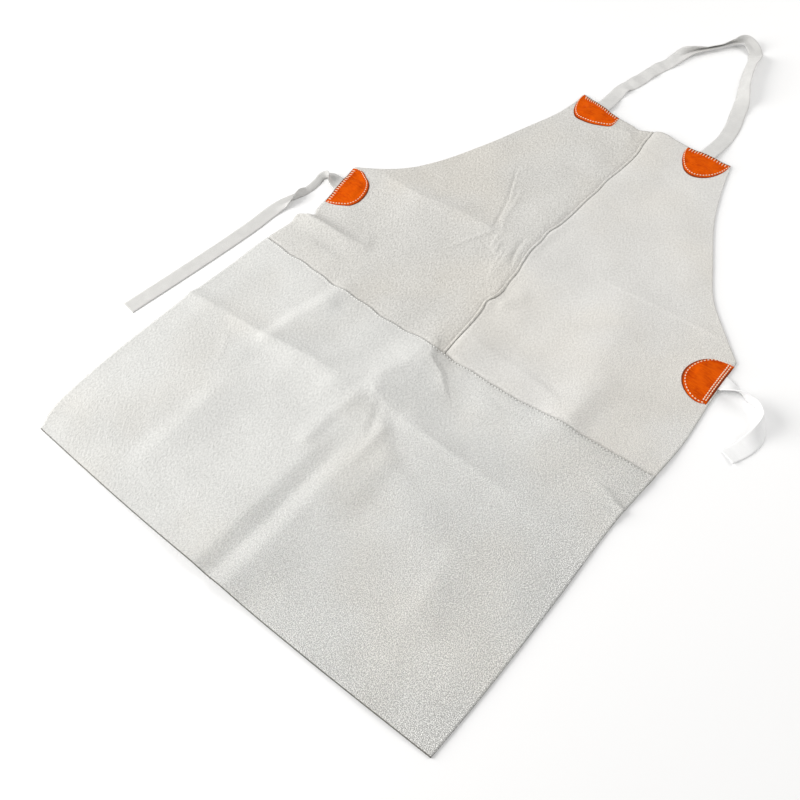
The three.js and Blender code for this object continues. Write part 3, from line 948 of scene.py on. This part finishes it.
PATCHES = {
    # places round the arc; the first and last are the ends of the straight side
    "patch_neck_left": [
        (-0.0505, 0.8662), (-0.050, 0.854), (-0.0505, 0.843), (-0.062, 0.837), (-0.075, 0.833),
        (-0.090, 0.8315), (-0.103, 0.833), (-0.112, 0.841), (-0.118, 0.853), (-0.1215, 0.868),
        (-0.1215, 0.8828),
    ],
    "patch_neck_right": [
        (0.1255, 0.8718), (0.1245, 0.859), (0.120, 0.845), (0.113, 0.834), (0.103, 0.826),
        (0.091, 0.823), (0.080, 0.827), (0.070, 0.838), (0.063, 0.851), (0.060, 0.862), (0.060, 0.8708),
    ],
    "patch_waist_left": [
        (-0.296, 0.560), (-0.288, 0.5625), (-0.279, 0.562), (-0.268, 0.556), (-0.255, 0.548),
        (-0.248, 0.538), (-0.244, 0.525), (-0.244, 0.512), (-0.249, 0.501), (-0.260, 0.494),
        (-0.272, 0.489), (-0.284, 0.487),
    ],
    "patch_waist_right": [
        (0.299, 0.507), (0.290, 0.503), (0.278, 0.504), (0.268, 0.509), (0.260, 0.517),
        (0.255, 0.527), (0.254, 0.538), (0.257, 0.549), (0.263, 0.559), (0.272, 0.567),
        (0.285, 0.571), (0.298, 0.573),
    ],
}


def patch_points(arc, across, along):
    """Places on a patch: across runs round the arc, along from the straight side to the arc."""
    arc = np.array(arc)
    steps = np.linalg.norm(np.diff(arc, axis=0), axis=1)
    marks = np.concatenate([[0], np.cumsum(steps)])
    at = across * marks[-1]
    arc_x, arc_y = through(marks, arc[:, 0])(at), through(marks, arc[:, 1])(at)
    share = (1 - np.cos(math.pi * across)) / 2
    side_x = arc[0, 0] + (arc[-1, 0] - arc[0, 0]) * share
    side_y = arc[0, 1] + (arc[-1, 1] - arc[0, 1]) * share
    x = side_x + (arc_x - side_x) * along
    y = side_y + (arc_y - side_y) * along
    depth = np.hypot(arc_x - side_x, arc_y - side_y)
    length = np.linalg.norm(arc[-1] - arc[0])
    from_tape = np.abs(share - 0.5) * length
    over_tape = (1 - ease(from_tape, 0.011, 0.020)) * (1 - ease(depth * along, 0.028, 0.036))
    from_rim = np.minimum(depth * along, depth * (1 - along))
    crown = 0.0007 * ease(from_rim, 0.001, 0.007)
    z = lift(x, y) + LEATHER + 0.0003 + over_tape * ROOM_FOR_TAPE + crown
    return to_frame(x, y, z)


# %% Patches
PATCH_THICKNESS = 0.0014
PATCH_RIM_SHARE = 0.04

for node, arc in PATCHES.items():
    patch = laid_sheet(node.replace("patch", "corner_patch"), 80, 40,
                       lambda across, along: patch_points(arc, across, 1 - along))
    patch.data.materials.append(orange)
    patch.data.materials.append(burnt)
    outermost(patch, 1, PATCH_RIM_SHARE, PATCH_RIM_SHARE)
    thicken(patch, PATCH_THICKNESS, 1)
    belongs(patch, "patch_leather", node)
print(len(PATCHES), "patches")

# %% Stitching of the patches
PATCH_STITCHES = {
    # arc inset and pitch; straight rows as inset and pitch; ticks across the straight side
    "patch_neck_left": {"arc": (0.0042, 0.0040), "rows": [], "ticks": (0.0014, 0.0076, 0.0040)},
    "patch_neck_right": {"arc": (0.0042, 0.0040), "rows": [], "ticks": (0.0014, 0.0084, 0.0040)},
    "patch_waist_left": {"arc": (0.0042, 0.0040), "rows": [], "ticks": (0.0018, 0.0070, 0.0040)},
    "patch_waist_right": {
        "arc": (0.0042, 0.0043), "rows": [(0.0030, 0.0034), (0.0060, 0.0034)], "ticks": None,
    },
}
ARC_THREAD = 0.0007
ROW_THREAD = 0.0008
TICK_THREAD = 0.0006


def patch_row(arc, inset, from_arc, low, high):
    """A path on top of a patch at an inset from its arc or its straight side."""
    across = np.linspace(low, high, 240)
    edge = patch_points(arc, across, np.ones_like(across))
    side = patch_points(arc, across, np.zeros_like(across))
    depth = np.linalg.norm((edge - side)[:, :2], axis=1)
    share = np.clip(inset / np.maximum(depth, 1e-4), 0, 0.5)
    path = patch_points(arc, across, 1 - share if from_arc else share)
    path[:, 2] += PATCH_THICKNESS
    return path


for node, arc in PATCHES.items():
    rows = PATCH_STITCHES[node]
    bm = bmesh.new()
    inset, pitch = rows["arc"]
    for start, end in zip(*evenly(patch_row(arc, inset, True, 0.05, 0.95), pitch, 0.6)):
        stitch(bm, start, end, ARC_THREAD)
    for inset, pitch in rows["rows"]:
        for start, end in zip(*evenly(patch_row(arc, inset, False, 0.14, 0.86), pitch, 0.86)):
            stitch(bm, start, end, ROW_THREAD)
    if rows["ticks"]:
        near, far, pitch = rows["ticks"]
        outer = evenly(patch_row(arc, near, False, 0.15, 0.85), pitch, 0.02)[0]
        inner = evenly(patch_row(arc, far, False, 0.15, 0.85), pitch, 0.02)[0]
        for start, end in zip(outer, inner):
            stitch(bm, start, end, TICK_THREAD)
    stitches = finish_stitches(bm, node.replace("patch", "patch_stitches"), thread)
    belongs(stitches, "cotton_tape")
print("patch stitching done")

# %% [markdown]
# ## Cotton tapes
# The neck strap and the waist ties are plain-woven cotton tape. A tape follows a route of a few
# places: what it lies on, how far it is tilted up on edge, and how far one half of it is folded over
# the other. The weave follows the tape's own UV map, so it turns with every bend.

# %% Woven cotton
def woven_cotton(name, dark, light):
    material, tree, shader = new_material(name, 0.95, 0.1)
    shader.inputs["Sheen Weight"].default_value = 0.2
    along_tape = add_node(tree, "ShaderNodeUVMap").outputs["UV"]
    weft = add_node(tree, "ShaderNodeTexWave", {"bands_direction": "Y"}, {
        "Vector": along_tape, "Scale": 300, "Distortion": 0.6, "Detail": 1}).outputs["Fac"]
    warp = add_node(tree, "ShaderNodeTexWave", {"bands_direction": "X"}, {
        "Vector": along_tape, "Scale": 200, "Distortion": 0.6, "Detail": 1}).outputs["Fac"]
    weave = maths(tree, "MULTIPLY", weft, warp)
    worn = speckle(tree, along_tape, 60, 3)
    tone = maths(tree, "ADD", maths(tree, "MULTIPLY", weave, 0.5), maths(tree, "MULTIPLY", worn, 0.5))
    link(tree, blend_colours(tree, tone, dark, light), shader.inputs["Base Color"])
    add_relief(tree, shader, weave, 0.5, 0.0004)
    return material


strap_cotton = woven_cotton("strap cotton", (0.57, 0.565, 0.55, 1), (0.88, 0.875, 0.855, 1))
grey_cotton = woven_cotton("grey cotton", (0.52, 0.515, 0.50, 1), (0.80, 0.795, 0.775, 1))
# A brighter copy of the same cotton, near white: painted light on the right tie.
painted_bright_cotton = woven_cotton("cotton painted bright", (0.90, 0.90, 0.90, 1), (0.98, 0.98, 0.98, 1))
print("materials:", strap_cotton.name, "and", grey_cotton.name, "and", painted_bright_cotton.name)

# %% Routes of the tapes
ROUTES = {
    # x, y, share of the way up onto the leather, tilt that raises the left edge, fold of the left half
    "neck_strap": [
        (-0.085, 0.852, 1, 0, 0), (-0.082, 0.885, 1, 0, 0), (-0.0835, 0.908, 0, 0, 0),
        (-0.083, 0.928, 0, -10, 0), (-0.0755, 0.952, 0, 8, 0), (-0.0705, 0.980, 0, -6, 0),
        (-0.0650, 1.003, 0, 4, 0), (-0.058, 1.022, 0, -6, 0), (-0.054, 1.039, 0, -8, 20),
        (-0.048, 1.056, 0, -14, 110),
        (-0.033, 1.077, 0, -20, 160), (-0.018, 1.096, 0, -20, 160), (-0.005, 1.114, 0, -20, 140),
        (0.012, 1.122, 0, -24, 70), (0.033, 1.112, 0, -8, 0), (0.041, 1.096, 0, 34, 0),
        (0.0465, 1.070, 0, 46, 0), (0.0545, 1.043, 0, 48, 0), (0.0645, 1.017, 0, 48, 0),
        (0.071, 1.003, 0, 36, 0), (0.0755, 0.992, 0, 8, 0), (0.0805, 0.973, 0, 2, 0),
        (0.088, 0.947, 0, 0, 0), (0.092, 0.917, 0, 0, 0), (0.091, 0.880, 1, 0, 0), (0.088, 0.848, 1, 0, 0),
    ],
    "waist_tie_left": [
        (-0.266, 0.523, 1, 0, 0), (-0.292, 0.5245, 1, 0, 0), (-0.303, 0.5255, 0.6, 0, 30),
        (-0.311, 0.5255, 0.3, 0, 90), (-0.315, 0.5215, 0, 0, 150), (-0.3140, 0.512, 0, 0, 165),
        (-0.3130, 0.500, 0, 0, 165), (-0.3145, 0.486, 0, 0, 165), (-0.3185, 0.474, 0, 0, 115),
        (-0.324, 0.462, 0, 0, 60), (-0.329, 0.448, 0, 0, 14), (-0.332, 0.430, 0, 0, 0),
        (-0.3335, 0.400, 0, 0, 0), (-0.3385, 0.351, 0, 0, 0), (-0.345, 0.301, 0, 0, 0),
        (-0.352, 0.251, 0, 0, 0), (-0.3595, 0.201, 0, 0, 0), (-0.361, 0.190, 0, 0, 0),
    ],
    "waist_tie_right": [
        (0.274, 0.542, 1, 0, 0), (0.302, 0.543, 1, 0, 0), (0.3155, 0.5405, 0, -40, 0),
        (0.330, 0.5375, 0, -76, 0), (0.348, 0.534, 0, -78, 0), (0.361, 0.522, 0, -74, 0),
        (0.366, 0.503, 0, -46, 0), (0.362, 0.483, 0, -8, 0), (0.352, 0.459, 0, 6, 0),
    ],
}


# %% Shape of a tape
FOLD_GAP = 0.0018


def tape_points(route, across, along):
    """Places on a tape that rests on its lower edge, with one half turned over where it is folded."""
    rows = np.array(route)
    steps = np.hypot(*np.diff(rows[:, :2], axis=0).T)
    marks = np.concatenate([[0], np.cumsum(steps)])
    at = along * marks[-1]
    route_x, route_y = through(marks, rows[:, 0]), through(marks, rows[:, 1])
    x, y = route_x(at), route_y(at)
    ahead_x = route_x(at + 0.0005) - route_x(at - 0.0005)
    ahead_y = route_y(at + 0.0005) - route_y(at - 0.0005)
    ahead = np.hypot(ahead_x, ahead_y)
    up_share = np.interp(at, marks, rows[:, 2])
    tilt = np.radians(np.interp(at, marks, rows[:, 3]))
    fold = np.radians(np.interp(at, marks, rows[:, 4]))
    off = (0.5 - across) * TAPE_WIDTH
    flat = np.where(off > 0, off * np.cos(fold), off)
    turned = np.where(off > 0, off * np.sin(fold) + FOLD_GAP * fold / math.pi, 0)
    over = flat * np.cos(tilt) - turned * np.sin(tilt)
    below = up_share * (lift(x, y) + LEATHER + 0.0002)
    rest = np.abs(np.sin(tilt)) * TAPE_WIDTH / 2
    z = below + rest + flat * np.sin(tilt) + turned * np.cos(tilt)
    return to_frame(x - ahead_y / ahead * over, y + ahead_x / ahead * over, z)


# %% Tapes
TAPE_THICKNESS = 0.001
TAPE_ROW = 0.002

TAPES = {
    # length and material
    "neck_strap": (0.60, strap_cotton),
    "waist_tie_left": (0.39, grey_cotton),
    # The right tie takes the brighter copy of the cotton, as painted light.
    "waist_tie_right": (0.16, painted_bright_cotton),
}
for node, route in ROUTES.items():
    length, cotton = TAPES[node]
    tape = laid_sheet(node + "_tape", 10, round(length / TAPE_ROW),
                      lambda across, along: tape_points(route, across, along))
    for loop in tape.data.uv_layers[0].data:
        loop.uv = (loop.uv[0] * TAPE_WIDTH, loop.uv[1] * length)
    tape.data.materials.append(cotton)
    thicken(tape, TAPE_THICKNESS)
    belongs(tape, "cotton_tape", node)
    print(tape.name, len(tape.data.polygons), "faces")
